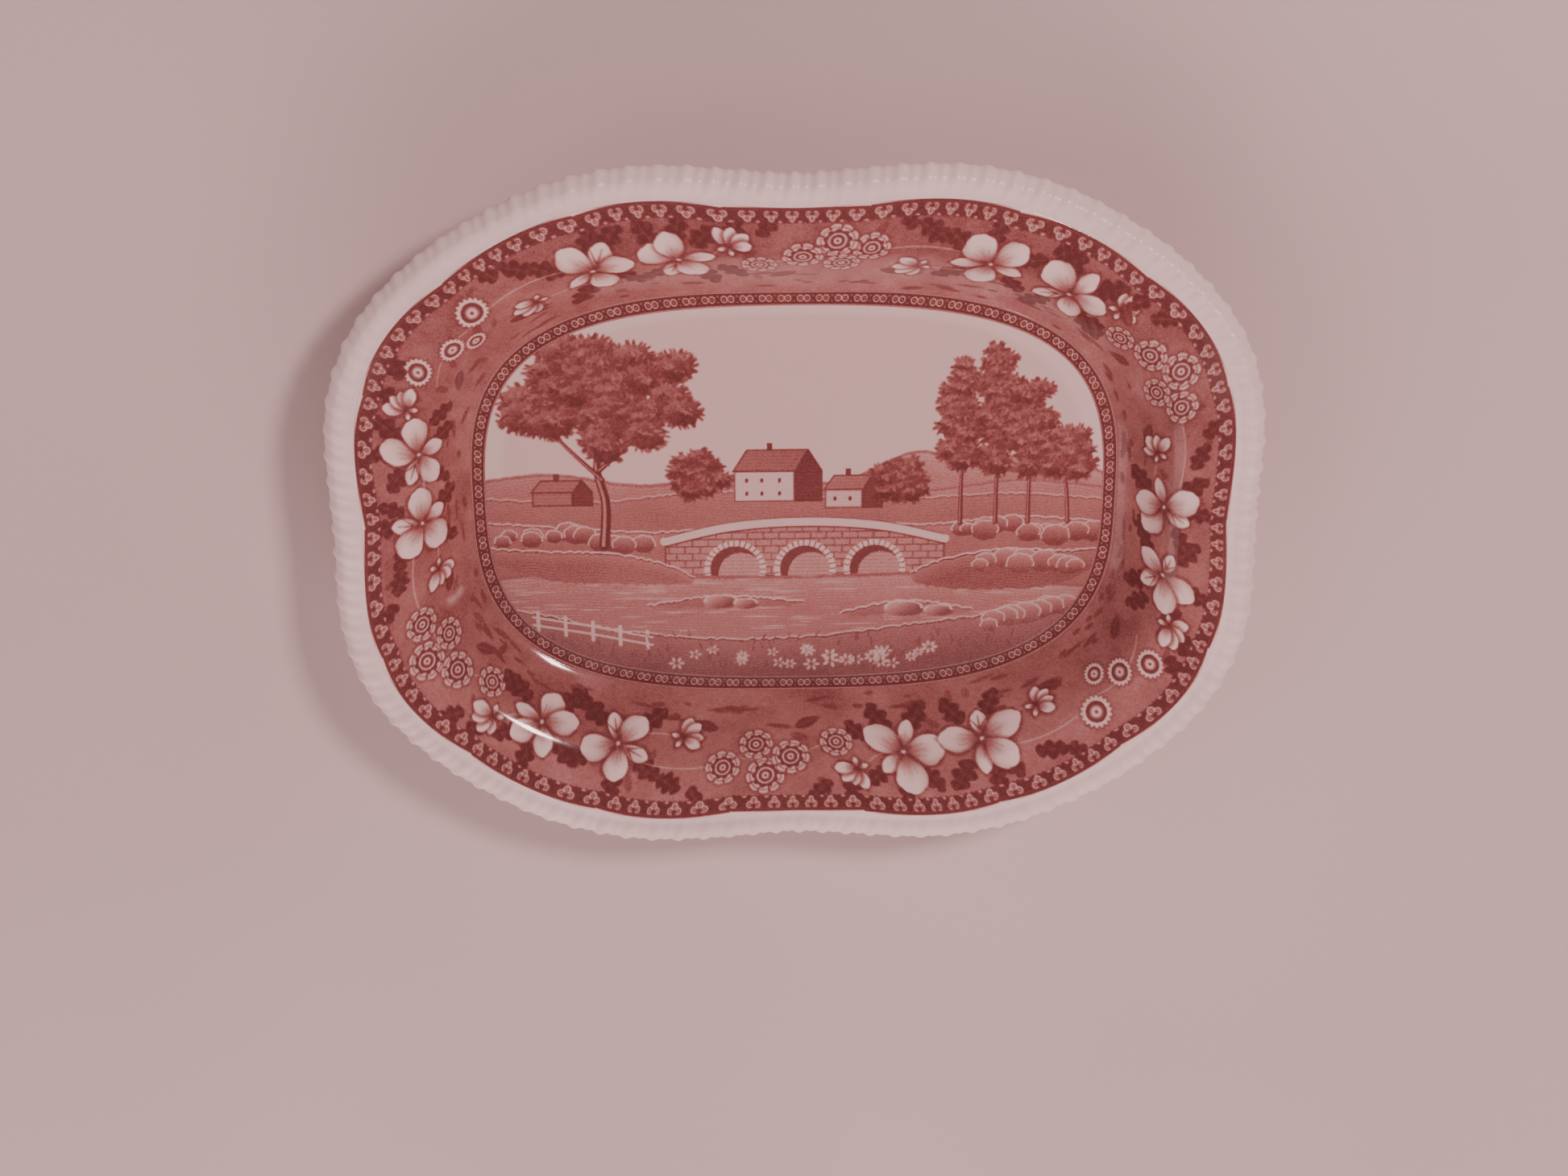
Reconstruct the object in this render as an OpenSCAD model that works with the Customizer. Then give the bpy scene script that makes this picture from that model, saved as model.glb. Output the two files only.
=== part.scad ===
// China serving platter: a rounded rectangular dish with an eight-lobed rim, a flat well,
// a steep wall, a gently rising flange, a rolled and fluted edge and a foot ring.
// Millimetres. +Z is up out of the well, +X along the length, origin on the table under the centre.

/* [Platter] */
// Length over the fluted edge
platter_length = 360; // [320:1:400]
// Width over the fluted edge
platter_width = 280; // [250:1:310]
// Thickness of the pottery wall and floor
body_thick = 4.6; // [3.6:0.1:6]
// How far the middles of the sides pull in between the corners
rim_square = 0.05; // [0.02:0.005:0.07]
// How strongly the rim swells into its eight lobes
rim_lobe = 0.0125; // [0:0.0025:0.02]
// How much fuller the ends are than the long sides
rim_full_ends = 0.057; // [0:0.001:0.08]

/* [Well] */
// Length of the flat floor, to the middle of the chain band
well_length = 250; // [220:1:270]
// Width of the flat floor, to the middle of the chain band
well_width = 163; // [140:1:180]
// Squareness of the floor's corners, where 2 is an ellipse
well_power = 3; // [2:0.1:5]
// Rise of the steep wall above the floor
wall_rise = 24; // [16:0.5:30]
// Further rise of the flange up to its printed line
flange_rise = 7; // [3:0.5:12]
// Share of the slope, from floor to printed line, that the steep wall takes
wall_share = 0.62; // [0.5:0.01:0.75]

/* [Fluted edge] */
// Width of the white edge outside the printed line
edge_width = 12.5; // [9:0.5:16]
// Drop of the edge's lip below the printed line
edge_drop = 7.5; // [5:0.5:10]
// Number of flutes round the edge
flute_count = 100; // [60:2:120]
// Depth of a flute between two swellings
flute_depth = 1.1; // [0.4:0.1:1.6]
// Lean of the flutes from root to lip, as a share of their pitch
flute_lean = 0.25; // [0:0.05:0.5]

/* [Foot] */
// Height of the foot ring under the floor
foot_height = 3.6; // [2:0.1:6]
// Width of the foot ring where it meets the table
foot_width = 5; // [3:0.5:8]
// Gap from the edge of the flat floor in to the foot ring
foot_inset = 4; // [2:0.5:10]

/* [Printed decoration] */
// Thickness of the fired print layers
ink_thick = 0.3; // [0.2:0.05:0.5]
// Half the width of the chain band round the floor
inner_chain_half = 3.2; // [2:0.1:5]
// Width of the chain band at the rim
outer_chain_width = 7.5; // [5:0.5:10]

/* [Hidden] */

steps = flute_count;       // points round every outline, one for each flute
flute_samples = 4;         // points across one flute
floor_z = foot_height + body_thick;
line_half_length = platter_length / 2 - edge_width;
line_half_width = platter_width / 2 - edge_width;
slope_width = (line_half_length - well_length / 2 + line_half_width - well_width / 2) / 2;
chain_t = inner_chain_half / slope_width;
rim_chain_t = 1 - outer_chain_width / slope_width;
line_z = floor_z + wall_rise + flange_rise;

white = "whitesmoke";
print_red = "indianred";
chain_red = "brown";

// ---- outlines: u is the angle of a point on the unit circle that is stretched to the outline ----

function clamp01(x) = min(1, max(0, x));

// Swelling of the rim outline: full ends, squared corners and eight lobes
function rim_swell(u) = 1 + rim_full_ends * cos(2 * u) - rim_square * cos(4 * u) - rim_lobe * cos(8 * u);
swell_x = max([for (u = [0:1:90]) cos(u) * rim_swell(u)]);
swell_y = max([for (u = [0:1:90]) sin(u) * rim_swell(u)]);
function rim_at(u) = rim_swell(u) * [cos(u) * line_half_length / swell_x, sin(u) * line_half_width / swell_y];

// Superellipse round the flat floor
function well_reach(u) = pow(pow(abs(cos(u)), well_power) + pow(abs(sin(u)), well_power), -1 / well_power);
function well_at(u) = well_reach(u) * [cos(u) * well_length / 2, sin(u) * well_width / 2];

// Angles that space the points evenly along the rim
rim_samples = [for (u = [0:1:360]) rim_at(u)];
function run_length(i) = i == 0 ? 0 : norm(rim_samples[i] - rim_samples[i - 1]);
function running(i = 0, sum = 0) =
    i > 360 ? [] : concat([sum + run_length(i)], running(i + 1, sum + run_length(i)));
rim_runs = running();
run_table = [for (u = [0:1:360]) [rim_runs[u] / rim_runs[360], u]];
angles = [for (i = [0:steps - 1]) lookup(i / steps, run_table)];

// Outline at t: 0 on the floor's chain line, 1 on the rim's printed line, below 0 on the flat floor
function outline(t) = [for (u = angles) well_at(u) + (rim_at(u) - well_at(u)) * t];
function ring(t, z) = [for (p = outline(t)) [p[0], p[1], z]];

// ---- profile of the printed face and of the underside ----

function ease_both(x) = x * x * (3 - 2 * x);
function ease_in(x) = x * x * (2 - x);
flange_start = 0.4;
function face_z(t) = floor_z + wall_rise * ease_both(clamp01(t / wall_share))
    + flange_rise * ease_in(clamp01((t - flange_start) / (1 - flange_start)));
function face_ring(t, drop) = ring(t, face_z(t) - drop);

// A point of the underside lies one thickness from the face, square to it
function face_slope(t) = (face_z(t + 0.01) - face_z(t - 0.01)) / (0.02 * slope_width);
function under_t(t) = t + body_thick * sin(atan(face_slope(t))) / slope_width;
function under_ring(t) = ring(under_t(t), face_z(t) - body_thick * cos(atan(face_slope(t))));

face_stations = [-chain_t, 0, chain_t, 0.14, 0.21, 0.29, 0.37, 0.45, 0.53, 0.62, 0.72, rim_chain_t, 1];
under_stations = [0.9, 0.8, 0.7, 0.6, 0.5, 0.4, 0.3, 0.2, 0.1, 0];

// ---- solids lofted through rings: over the top outwards, then back inwards below ----

function flatten(lists) = [for (list = lists) for (item = list) item];
function wall_faces(n, m, rows) = [
    for (j = [0:rows - 1]) for (i = [0:n - 1])
        let (a = j * n + i, b = j * n + (i + 1) % n, c = (j + 1) % m * n + (i + 1) % n, d = (j + 1) % m * n + i)
        each [[a, b, c], [a, c, d]]
];

// A ring-shaped solid: the last ring joins the first
module loft_band(rings) {
    n = len(rings[0]);
    m = len(rings);
    polyhedron(flatten(rings), wall_faces(n, m, m));
}

// A dish-shaped solid: the first and last rings are closed by flat faces
module loft_dish(rings) {
    n = len(rings[0]);
    m = len(rings);
    top = [for (i = [n - 1:-1:0]) i];
    bottom = [for (i = [0:n - 1]) (m - 1) * n + i];
    polyhedron(flatten(rings), concat([top, bottom], wall_faces(n, m, m - 1)));
}

// A thin layer on the face between two stations
module face_layer(from, to) {
    stations = concat([from], [for (t = face_stations) if (t > from && t < to) t], [to]);
    top = [for (t = stations) face_ring(t, 0)];
    below = [for (k = [len(stations) - 1:-1:0]) face_ring(stations[k], ink_thick)];
    loft_band(concat(top, below));
}

// ---- fluted edge ----

line = outline(1);
function wrap(i) = (i + steps) % steps;
function outward(i) = let (d = line[wrap(i + 1)] - line[wrap(i - 1)]) [d[1], -d[0]] / norm(d);
function between(list, k) = let (i = floor(k / flute_samples), f = k / flute_samples - i)
    list[wrap(i)] * (1 - f) + list[wrap(i + 1)] * f;
normals = [for (i = [0:steps - 1]) outward(i)];

// Points of the edge's section: share of its width, height over the printed line, share of the flute depth
edge_section = [
    [0, 0, 0],
    [0.22, 0.3, 0],
    [0.45, 1.2, 0.5],
    [0.7, 0.5, 0.9],
    [0.9, -0.3 * edge_drop, 1],
    [1, -0.7 * edge_drop, 1],
    [0.9, -edge_drop, 0.6],
    [0.4, -0.85 * edge_drop, 0],
    [0, -body_thick, 0]
];

function flute_at(k, reach) = (cos(360 * (k / flute_samples + flute_lean * reach)) - 1) / 2 * flute_depth;
function edge_point(k, s) = let (
        p = between(line, k),
        q = between(normals, k),
        dip = s[2] * flute_at(k, s[0]),
        out = s[0] * edge_width + dip * s[0])
    [p[0] + q[0] * out, p[1] + q[1] * out, line_z + s[1] + dip * (1 - s[0])];
function edge_ring(s) = [for (k = [0:steps * flute_samples - 1]) edge_point(k, s)];

// ---- the pieces ----

module body() {
    face = [for (t = face_stations) face_ring(t, ink_thick)];
    rim = [ring(1, line_z - body_thick)];
    under = [for (t = under_stations) under_ring(t)];
    color(white) loft_dish(concat(face, rim, under));
}

module foot_ring() {
    outer_t = -foot_inset / slope_width;
    inner_t = -(foot_inset + foot_width) / slope_width;
    color(white) linear_extrude(height = foot_height) difference() {
        polygon(outline(outer_t));
        polygon(outline(inner_t));
    }
}

module gadroon_edge() {
    color(white) loft_band([for (s = edge_section) edge_ring(s)]);
}

module centre_print() {
    color(print_red) translate([0, 0, floor_z - ink_thick])
        linear_extrude(height = ink_thick) polygon(outline(-chain_t));
}

module inner_chain() {
    color(chain_red) face_layer(-chain_t, chain_t);
}

module border_print() {
    color(print_red) face_layer(chain_t, rim_chain_t);
}

module outer_chain() {
    color(chain_red) face_layer(rim_chain_t, 1);
}

body();
foot_ring();
gadroon_edge();
centre_print();
inner_chain();
border_print();
outer_chain();
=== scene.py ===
"""A transfer-printed china platter: smooth pottery, fluted edge and red printed decoration under glaze.

The prints are engraved here in code. Each one is a sheet of ink amounts, from 0 (bare glaze) to 1
(darkest red), that is laid on a fine mesh as a point attribute and turned into colour by its material.
Lengths are metres on the object and millimetres on the printed sheets.
"""
import bpy
import math
import numpy as np
from mathutils import Matrix, Vector


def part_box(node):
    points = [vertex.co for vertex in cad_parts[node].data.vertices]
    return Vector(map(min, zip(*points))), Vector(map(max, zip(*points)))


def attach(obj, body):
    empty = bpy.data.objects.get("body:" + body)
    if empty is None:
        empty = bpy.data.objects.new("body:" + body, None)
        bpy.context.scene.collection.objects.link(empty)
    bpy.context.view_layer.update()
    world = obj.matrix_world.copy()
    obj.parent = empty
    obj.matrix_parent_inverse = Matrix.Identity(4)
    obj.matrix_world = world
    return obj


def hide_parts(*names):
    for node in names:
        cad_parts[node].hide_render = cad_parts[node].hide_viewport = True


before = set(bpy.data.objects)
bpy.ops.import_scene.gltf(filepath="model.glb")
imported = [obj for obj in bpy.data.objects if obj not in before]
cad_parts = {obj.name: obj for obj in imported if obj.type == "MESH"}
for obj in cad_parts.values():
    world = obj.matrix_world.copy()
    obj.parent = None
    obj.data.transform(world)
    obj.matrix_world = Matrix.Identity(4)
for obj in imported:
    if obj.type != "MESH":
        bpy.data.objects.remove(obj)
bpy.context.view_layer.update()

MM = 0.001
TAU = 2 * math.pi
random_draws = np.random.default_rng      # each motif has its own draws, from its own seed

# ------------------------------------------------------------------ sizes read from the frame
LINE_HALF = np.array(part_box("outer_chain")[1][:2])       # half size of the printed line at the rim
LINE_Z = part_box("outer_chain")[1][2]
FLOOR_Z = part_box("centre_print")[1][2]
CHAIN_INSIDE = np.array(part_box("centre_print")[1][:2])
CHAIN_OUTSIDE = np.array(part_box("inner_chain")[1][:2])
WELL_HALF = (CHAIN_INSIDE + CHAIN_OUTSIDE) / 2           # half size of the floor, to the chain's middle
SLOPE_WIDTH = float(np.mean(LINE_HALF - WELL_HALF))
CHAIN_T = float(np.mean(CHAIN_OUTSIDE - CHAIN_INSIDE)) / 2 / SLOPE_WIDTH
FOOT_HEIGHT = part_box("foot_ring")[1][2]
FOOT_HALF = np.array(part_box("foot_ring")[1][:2])
EDGE_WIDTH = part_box("gadroon_edge")[1][0] - LINE_HALF[0]
EDGE_LIP_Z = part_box("gadroon_edge")[0][2]
BODY_THICK = FLOOR_Z - FOOT_HEIGHT

# sizes that the frame's boxes can't give, as in part.scad
INK_THICK = 0.3 * MM
RIM_FULL_ENDS = 0.057
RIM_SQUARE = 0.05
RIM_LOBE = 0.0125
WELL_POWER = 3.0
WALL_RISE = 24 * MM
FLANGE_RISE = 7 * MM
WALL_SHARE = 0.62
FLANGE_START = 0.4
RIM_CHAIN_T = 0.84
FOOT_WIDTH = 5 * MM
FLUTES = 100
FLUTE_DEPTH = 1.15 * MM
FLUTE_LEAN = 0.25    # share of a flute's pitch between its root and its lip
FLUTE_COLUMNS = 18   # points across one flute

GRID = 0.44          # spacing of the printed meshes' points, mm
FINE = GRID / 2      # spacing of the sheets' points, mm
ROUND_COLUMNS = 480  # points round the body and the foot ring


# ------------------------------------------------------------------ outlines and profile
def rim_swell(u):
    return 1 + RIM_FULL_ENDS * np.cos(2 * u) - RIM_SQUARE * np.cos(4 * u) - RIM_LOBE * np.cos(8 * u)


ROUND = np.linspace(0, TAU, 1441)
SWELL_MAX = np.array([(np.cos(ROUND) * rim_swell(ROUND)).max(), (np.sin(ROUND) * rim_swell(ROUND)).max()])


def rim_at(u):
    """The printed line at the rim, for unit-circle angles u."""
    unit = np.stack([np.cos(u), np.sin(u)], -1) * rim_swell(u)[..., None]
    return unit * LINE_HALF / SWELL_MAX


def well_at(u):
    """The edge of the flat floor, a superellipse."""
    c, s = np.cos(u), np.sin(u)
    reach = (np.abs(c) ** WELL_POWER + np.abs(s) ** WELL_POWER) ** (-1 / WELL_POWER)
    return np.stack([c * reach, s * reach], -1) * WELL_HALF


def running_length(points):
    steps = np.linalg.norm(np.diff(points, axis=0), axis=1)
    return np.concatenate([[0.0], np.cumsum(steps)])


RIM_RUN = running_length(rim_at(ROUND))
WELL_RUN = running_length(well_at(ROUND))


def angle_at(share):
    """Angle of the point that lies this share of the way round the rim, from +X towards +Y."""
    return np.interp(np.mod(share, 1.0), RIM_RUN / RIM_RUN[-1], ROUND)


def outline(u, t):
    """0 is the floor's edge and 1 the printed line at the rim."""
    w = well_at(u)
    return w + (rim_at(u) - w) * np.asarray(t)[..., None]


def face_z(t):
    wall = np.clip(t / WALL_SHARE, 0, 1)
    flange = np.clip((t - FLANGE_START) / (1 - FLANGE_START), 0, 1)
    return FLOOR_Z + WALL_RISE * wall * wall * (3 - 2 * wall) + FLANGE_RISE * flange * flange * (2 - flange)


def face_slope(t):
    return (face_z(t + 0.005) - face_z(t - 0.005)) / (0.01 * SLOPE_WIDTH)


def face_point(u, t, drop=0.0):
    xy = outline(u, t)
    return np.concatenate([xy, (face_z(t) - drop)[..., None]], -1)


# ------------------------------------------------------------------ meshes
def new_object(name, data):
    obj = bpy.data.objects.new(name, data)
    bpy.context.collection.objects.link(obj)
    return obj


def mesh_object(name, points, quads, ink=None):
    mesh = bpy.data.meshes.new(name)
    points = np.asarray(points, np.float32)
    quads = np.asarray(quads, np.int32)
    mesh.vertices.add(len(points))
    mesh.vertices.foreach_set("co", points.ravel())
    mesh.loops.add(quads.size)
    mesh.loops.foreach_set("vertex_index", quads.ravel())
    mesh.polygons.add(len(quads))
    mesh.polygons.foreach_set("loop_start", np.arange(0, quads.size, 4, dtype=np.int32))
    mesh.polygons.foreach_set("use_smooth", np.ones(len(quads), bool))
    mesh.update(calc_edges=True)
    mesh.validate()
    if ink is not None:
        layer = mesh.attributes.new("ink", "FLOAT", "POINT")
        layer.data.foreach_set("value", np.asarray(ink, np.float32).ravel())
    return new_object(name, mesh)


def band_quads(rows, cols, close_rows=False):
    """Quads of a band whose rows run round the platter; the columns always close."""
    j = np.arange(rows if close_rows else rows - 1)[:, None]
    i = np.arange(cols)[None, :]
    here, along = j * cols + i, j * cols + (i + 1) % cols
    up, across = (j + 1) % rows * cols + i, (j + 1) % rows * cols + (i + 1) % cols
    return np.stack([here, up, across, along], -1).reshape(-1, 4)


# ------------------------------------------------------------------ engraving tools
def soft(distance, width=0.2):
    """1 inside and 0 outside, over an edge this many millimetres wide."""
    return np.clip(0.5 + distance / (2 * width), 0, 1)


def away(x, y, reach, angle, tall=1.0):
    """The place that lies this far from another at this angle, on a circle or an oval."""
    return x + reach * math.cos(angle), y + tall * reach * math.sin(angle)


def turn(x, y, angle):
    c, s = math.cos(angle), math.sin(angle)
    return x * c + y * s, y * c - x * s


def between(grid, r, c, fr, fc):
    """Values of a grid the shares fr and fc of a step on from its rows r and columns c."""
    here = grid[r, c] * (1 - fc) + grid[r, c + 1] * fc
    above = grid[r + 1, c] * (1 - fc) + grid[r + 1, c + 1] * fc
    return here * (1 - fr) + above * fr


def value_noise(shape, cell, seed, loop=False):
    """Smooth random field from 0 to 1 whose features are about cell grid steps wide."""
    rows, cols = shape
    gr, gc = max(2, int(rows / cell) + 2), max(2, int(cols / cell) + 2)
    grid = random_draws(seed).random((gr, gc))
    if loop:
        grid[:, -1] = grid[:, 0]
    r = np.linspace(0, gr - 1.001, rows)
    c = np.linspace(0, gc - 1.001, cols)
    r0, c0 = r.astype(int), c.astype(int)
    fr, fc = r - r0, c - c0
    fr, fc = fr * fr * (3 - 2 * fr), fc * fc * (3 - 2 * fc)
    return between(grid, r0[:, None], c0[None, :], fr[:, None], fc[None, :])


class Sheet:
    """A print: a regular grid of ink amounts, in millimetres. A looped one joins end to end."""

    def __init__(self, x0, x1, y0, y1, step, loop=False, stretch=None):
        self.step = step
        self.loop = loop
        cols = int(round((x1 - x0) / step)) + (0 if loop else 1)
        rows = int(round((y1 - y0) / step)) + 1
        self.x = x0 + np.arange(cols) * ((x1 - x0) / (cols if loop else cols - 1))
        self.y = np.linspace(y0, y1, rows)
        self.dx = self.x[1] - self.x[0]
        self.ink = np.zeros((rows, cols))
        self.stretch = np.ones(rows) if stretch is None else stretch(self.y)

    def near(self, x, y, half_x, half_y=None):
        """Grid points round a place, with their millimetres from it along and across the print."""
        half_y = half_x if half_y is None else half_y
        rows = np.nonzero(np.abs(self.y - y) <= half_y)[0]
        if len(rows) == 0:
            rows = np.array([0])
        wide = half_x / self.stretch[rows].min()
        first = math.floor((x - wide - self.x[0]) / self.dx)
        last = math.ceil((x + wide - self.x[0]) / self.dx)
        cols = np.arange(first, last + 1)
        if not self.loop:
            cols = cols[(cols >= 0) & (cols < len(self.x))]
        along = self.x[0] + cols * self.dx - x
        local_x = along[None, :] * self.stretch[rows][:, None]
        local_y = np.repeat((self.y[rows] - y)[:, None], len(cols), 1)
        return np.ix_(rows, cols % len(self.x)), local_x, local_y

    def span(self, points, pad, at):
        """Grid points round some points, in the millimetres that the points are in."""
        low, high = points.min(0), points.max(0)
        mid = (low + high) / 2
        where, lx, ly = self.near(at[0] + mid[0], at[1] + mid[1], *((high - low) / 2 + pad))
        return where, lx + mid[0], ly + mid[1]

    def lay(self, where, mask, tone):
        self.ink[where] += (tone - self.ink[where]) * mask

    def dab(self, x, y, rx, ry, angle, tone, strength=1.0):
        """A small oval of one tone."""
        where, lx, ly = self.near(x, y, max(rx, ry) + 0.5)
        p, q = turn(lx, ly, angle)
        r = np.sqrt((p / rx) ** 2 + (q / ry) ** 2)
        self.lay(where, soft((1 - r) * min(rx, ry), 0.25) * strength, tone)

    def line(self, points, width, tone, strength=1.0, at=(0.0, 0.0)):
        """A stroke through points, as wide as the number or the list of numbers says."""
        pts = np.asarray(points, float)
        widths = np.broadcast_to(np.asarray(width, float), (len(pts),))
        where, x, y = self.span(pts, widths.max() + 0.6, at)
        best = np.full(x.shape, -1e9)
        for k in range(len(pts) - 1):
            e = pts[k + 1] - pts[k]
            px, py = x - pts[k][0], y - pts[k][1]
            f = np.clip((px * e[0] + py * e[1]) / max(e @ e, 1e-9), 0, 1)
            gap = np.hypot(px - f * e[0], py - f * e[1])
            best = np.maximum(best, (widths[k] * (1 - f) + widths[k + 1] * f) / 2 - gap)
        self.lay(where, soft(best) * strength, tone)

    def shape(self, points, tone, outline=None, outline_width=0.3, at=(0.0, 0.0)):
        """A filled outline. The tone may be a function of the place."""
        pts = np.asarray(points, float)
        where, x, y = self.span(pts, 1, at)
        inside = distance_in(x, y, pts)
        fill = tone(x, y) if callable(tone) else tone
        self.lay(where, soft(inside), fill)
        if outline is not None:
            self.lay(where, soft(outline_width / 2 - np.abs(inside - outline_width / 2)), outline)


def distance_in(x, y, corners):
    """How far in from a closed outline each point lies, negative outside it."""
    nearest = np.full(x.shape, 1e9)
    inside = np.zeros(x.shape, bool)
    for (ax, ay), (bx, by) in zip(corners, np.roll(corners, -1, axis=0)):
        ex, ey = bx - ax, by - ay
        px, py = x - ax, y - ay
        f = np.clip((px * ex + py * ey) / max(ex * ex + ey * ey, 1e-9), 0, 1)
        nearest = np.minimum(nearest, (px - f * ex) ** 2 + (py - f * ey) ** 2)
        if ay != by:
            inside ^= ((ay > y) != (by > y)) & (x < ex * (y - ay) / (by - ay) + ax)
    return np.where(inside, 1, -1) * np.sqrt(nearest)


def smooth_curve(points, samples=8):
    """Catmull-Rom curve through a few points."""
    p = np.asarray(points, float)
    p = np.concatenate([p[:1], p, p[-1:]])
    t = np.linspace(0, 1, samples, endpoint=False)[:, None]
    out = []
    for k in range(1, len(p) - 2):
        a, b, c, d = p[k - 1], p[k], p[k + 1], p[k + 2]
        out.append(0.5 * (2 * b + (c - a) * t + (2 * a - 5 * b + 4 * c - d) * t ** 2
                          + (3 * b - a - 3 * c + d) * t ** 3))
    return np.concatenate(out + [p[-2:-1]])


# ------------------------------------------------------------------ floral motifs
def set_off(sheet, where, inside, reach, strength, tone):
    """A dark surround that fades outwards, so that a pale shape stands off the ground."""
    sheet.lay(where, np.clip(1 + inside / reach, 0, 1) * (inside < 0) * strength, tone)


def ringed(r, tone, rings):
    """Tones of an eye with rings: each of the rings, from the outside in, is a radius and a tone."""
    tone = np.full(r.shape, tone)
    for radius, inner in rings:
        tone = np.where(r < radius, inner, tone)
    return tone


def big_petal(sheet, place, length, width, angle, shade_side, seed):
    """One petal: rosy where it joins, shaded down one side, finely outlined and darkly set off."""
    local = random_draws(seed)
    where, x, y = sheet.near(place[0], place[1], length + 3)
    p, q = turn(x, y, angle)
    p = p / length
    along = np.clip(p, 0, 1)
    waist = np.sin(np.pi * along ** local.uniform(1.25, 1.6)) ** 0.6
    half = width / 2 * waist * (1 + 0.05 * np.sin(q * 2.2 + local.uniform(0, 6)) * along)
    beyond = np.hypot(np.abs(q), np.maximum(p - 1, -p) * length)
    inside = np.where((p > 0) & (p < 1), half - np.abs(q), -beyond)
    set_off(sheet, where, inside, 1.8, 0.6, 0.98)
    side = np.clip(shade_side * q / (half + 0.3), 0, 1)
    tone = 0.05 + 0.72 * np.exp(-(along / 0.30) ** 2) + 0.50 * side ** 2.2 * (1 - 0.5 * along)
    tone += 0.20 * np.exp(-(q / (0.16 * width)) ** 2) * np.exp(-((along - 0.42) / 0.22) ** 2)
    for lean in (-0.4, 0.0, 0.4):
        vein = (np.abs(q - lean * half) < 0.2) & (along < 0.42 + 0.15 * local.random())
        tone = np.where(vein, np.maximum(tone, 0.66 - 0.5 * along), tone)
    tone = np.where(inside < 0.34, np.maximum(tone, 0.66), tone)
    sheet.lay(where, soft(inside), tone)


def folded_petal(sheet, place, length, width, angle, seed):
    """A petal seen from its back, with a dark branching vein."""
    big_petal(sheet, place, length, width, angle, 1, seed)
    c, s = math.cos(angle), math.sin(angle)
    for lean, reach in ((0.0, 0.8), (0.25, 0.68), (-0.25, 0.68)):
        tip = np.array([[0.32 * c, 0.32 * s], [reach * c - lean * s, reach * s + lean * c]]) * length
        sheet.line(tip, [0.55, 0.25], 0.85, at=place)


def big_flower(sheet, x, y, size, angle, seed):
    """An open five-petalled blossom with two broad upper petals."""
    local = random_draws(seed)
    for k in (2, 4, 0, 3, 1):
        lean = angle + k * TAU / 5 + local.uniform(-0.28, 0.28)
        broad = k in (0, 1, 3)
        length = size * (local.uniform(0.47, 0.56) if broad else local.uniform(0.38, 0.50))
        width = length * (local.uniform(0.66, 0.82) if broad else local.uniform(0.44, 0.58))
        if not broad and local.random() < 0.6:
            folded_petal(sheet, (x, y), length, width, lean, seed + k)
        else:
            big_petal(sheet, (x, y), length, width, lean, local.choice([-1, 1]), seed + k)
    sheet.dab(x, y, size * 0.055, size * 0.055, 0, 0.75)
    for k in range(5):
        tip = away(0, 0, size * 0.12, angle + (k + 0.5) * TAU / 5)
        sheet.line([(0, 0), tip], [0.7, 0.4], 0.85, at=(x, y))
    sheet.dab(x, y, 0.9, 0.7, angle, 0.1)


def small_flower(sheet, x, y, size, angle, seed):
    """Three or four slim petals to one side of a short stem."""
    local = random_draws(seed)
    for k in range(4):
        lean = angle + (k - 1.5) * 0.62 + local.uniform(-0.1, 0.1)
        length = size * local.uniform(0.5, 0.66)
        big_petal(sheet, (x, y), length, length * 0.6, lean, local.choice([-1, 1]), seed + k)
    for k in (-1, 1):
        big_petal(sheet, (x, y), size * 0.3, size * 0.16, angle + k * 2.4, 1, seed + 7)


def rosette(sheet, x, y, radius, petals, seed):
    """A round blossom: a dotted eye, a dark ring and an outer ring of notched petals."""
    local = random_draws(seed)
    where, lx, ly = sheet.near(x, y, radius + 2.5)
    r = np.hypot(lx, ly) / radius
    phase = np.arctan2(ly, lx) * petals / 2 + local.uniform(0, 3)
    lobes = np.abs(np.cos(phase))
    rim = 0.86 + 0.16 * lobes ** 0.5
    inside = (rim - r) * radius
    set_off(sheet, where, inside, 1.6, 0.5, 0.95)
    tone = ringed(r, 0.22, [(0.66 + 0.06 * np.sin(phase * 2), 0.88), (0.47, 0.25), (0.36, 0.85), (0.2, 0.2),
                            (0.08, 0.8)])
    tone = np.where((r > 0.7) & (lobes < 0.3), 0.85, tone)
    tone = np.where((np.abs(r - 0.82) < 0.035) & (lobes > 0.45), 0.65, tone)
    sheet.lay(where, soft(inside), tone)


def daisy(sheet, x, y, radius, teeth, seed):
    """A blossom with a saw-toothed pale ring round a dark one."""
    local = random_draws(seed)
    where, lx, ly = sheet.near(x, y, radius + 2.5)
    r = np.hypot(lx, ly) / radius
    saw = np.abs(np.mod(np.arctan2(ly, lx) * teeth / TAU + local.random(), 1) * 2 - 1)
    inside = (0.82 + 0.2 * saw - r) * radius
    set_off(sheet, where, inside, 1.6, 0.5, 0.95)
    sheet.lay(where, soft(inside), ringed(r, 0.12, [(0.66, 0.85), (0.42, 0.5), (0.3, 0.15), (0.12, 0.7)]))


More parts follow.
